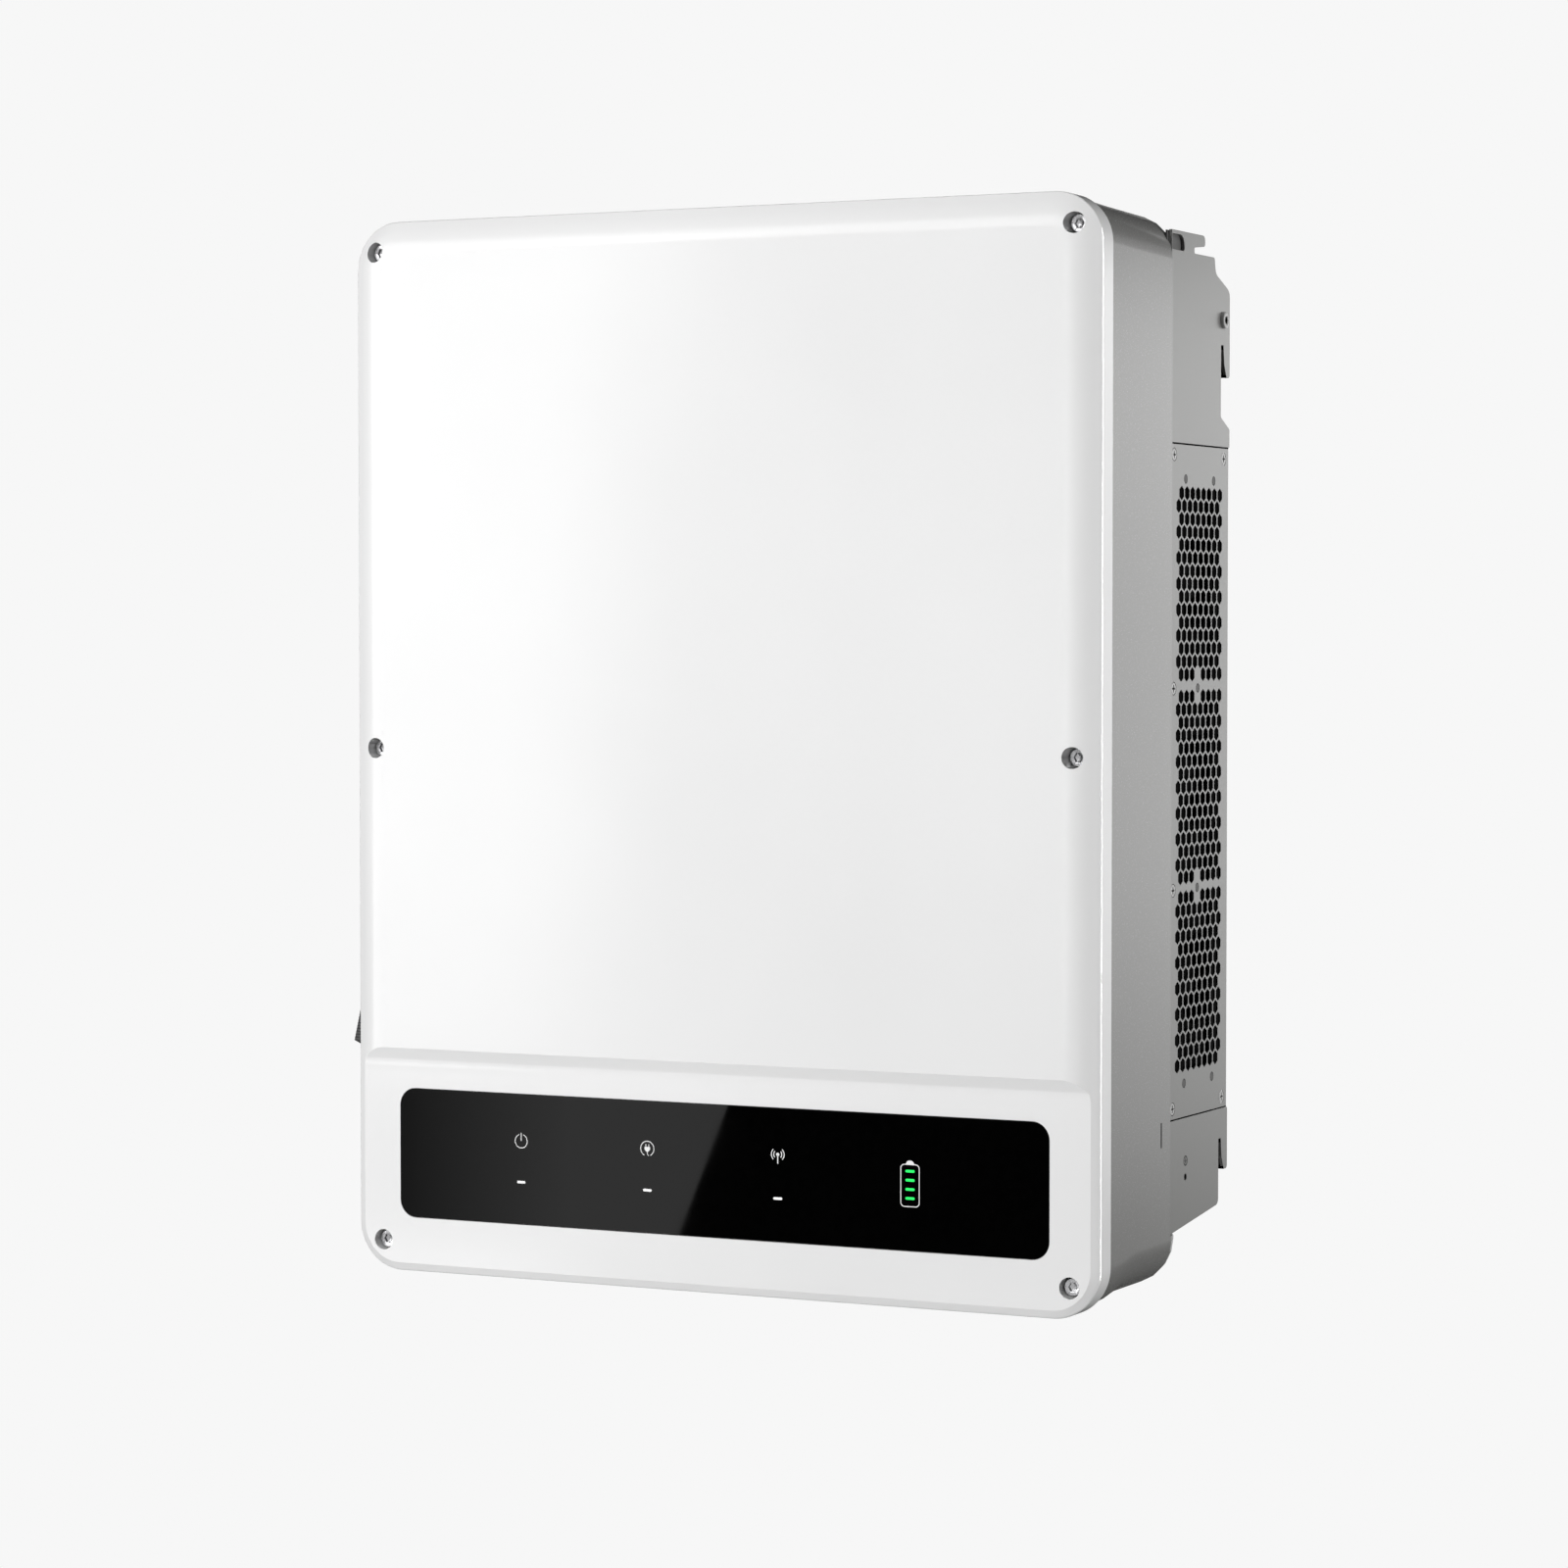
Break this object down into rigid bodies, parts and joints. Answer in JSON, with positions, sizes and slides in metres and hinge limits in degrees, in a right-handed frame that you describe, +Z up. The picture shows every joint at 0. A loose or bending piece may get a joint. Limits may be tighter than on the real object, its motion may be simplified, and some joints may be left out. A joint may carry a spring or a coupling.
{
  "type": "wall-hung solar string inverter",
  "caption": "Upright box-shaped solar inverter with a white front cover, black status window, grey cast enclosure, side air grilles, hook plates for a wall bracket and a rotary DC switch.",
  "frame": {"origin": "centre of the back panel's rear face", "axes": "+X to the viewer's right seen from the front, +Y back towards the wall, +Z up"},
  "size_m": [0.5299, 0.22, 0.6601],
  "materials": {
    "white_paint": "satin white powder coat",
    "grey_paint": "fine-textured grey powder coat",
    "zinc_steel": "zinc-plated steel",
    "aluminium": "bare aluminium",
    "black_window": "glossy black",
    "clear_plastic": "clear moulded light guide",
    "gasket_rubber": "black foam rubber",
    "black_plastic": "black moulded plastic",
    "circuit_board": "green circuit board",
    "module_plastic": "moulded module case",
    "capacitor_sleeve": "dark sleeve"
  },
  "bodies": {
    "root": {"back_panel": "grey_paint", "backup_connector": "black_plastic", "battery_connector_1": "black_plastic", "battery_connector_2": "black_plastic", "battery_light_guide": "clear_plastic", "breather_valve": "zinc_steel", "control_board": "circuit_board", "cover_gasket": "gasket_rubber", "cover_screw_1": "zinc_steel", "cover_screw_2": "zinc_steel", "cover_screw_3": "zinc_steel", "cover_screw_4": "zinc_steel", "cover_screw_5": "zinc_steel", "cover_screw_6": "zinc_steel", "data_port_cover": "black_plastic", "dc_link_capacitor_1": "capacitor_sleeve", "dc_link_capacitor_2": "capacitor_sleeve", "dc_switch_base": "black_plastic", "dc_switch_body": "black_plastic", "display_board": "circuit_board", "display_window": "black_window", "enclosure": "grey_paint", "fan_frame_1": "black_plastic", "fan_frame_2": "black_plastic", "fan_frame_3": "black_plastic", "fan_tray": "zinc_steel", "front_cover": "white_paint", "grid_connector": "black_plastic", "grille_screw_1": "zinc_steel", "grille_screw_2": "zinc_steel", "grille_screw_3": "zinc_steel", "grille_screw_4": "zinc_steel", "grille_screw_5": "zinc_steel", "grille_screw_6": "zinc_steel", "heat_sink": "aluminium", "inductor_box": "aluminium", "left_grille": "grey_paint", "lock_screw_left": "zinc_steel", "lock_screw_right": "zinc_steel", "lower_left_hook_plate": "grey_paint", "lower_right_hook_plate": "grey_paint", "power_board": "circuit_board", "power_module_1": "module_plastic", "power_module_2": "module_plastic", "pv_connector_1": "black_plastic", "pv_connector_2": "black_plastic", "pv_connector_3": "black_plastic", "pv_connector_4": "black_plastic", "pv_connector_5": "black_plastic", "pv_connector_6": "black_plastic", "right_grille": "grey_paint", "status_light_guide": "clear_plastic", "upper_left_hook_plate": "grey_paint", "upper_right_hook_plate": "grey_paint"},
    "dc_switch": {"dc_switch_handle": "black_plastic"},
    "fan_1": {"fan_rotor_1": "black_plastic"},
    "fan_2": {"fan_rotor_2": "black_plastic"},
    "fan_3": {"fan_rotor_3": "black_plastic"}
  },
  "joints": [
    {"name": "dc_switch_turn", "type": "hinge", "parent": "root", "child": "dc_switch", "pos_m": [-0.2554, -0.1614, -0.15035], "axis": [-1, 0, 0], "range_deg": [0, 90]},
    {"name": "fan_1_spin", "type": "hinge", "parent": "root", "child": "fan_1", "pos_m": [0.233, -0.03525, -0.1226], "axis": [1, 0, 0], "continuous": true},
    {"name": "fan_2_spin", "type": "hinge", "parent": "root", "child": "fan_2", "pos_m": [0.233, -0.03525, 0], "axis": [1, 0, 0], "continuous": true},
    {"name": "fan_3_spin", "type": "hinge", "parent": "root", "child": "fan_3", "pos_m": [0.233, -0.03525, 0.1226], "axis": [1, 0, 0], "continuous": true}
  ]
}
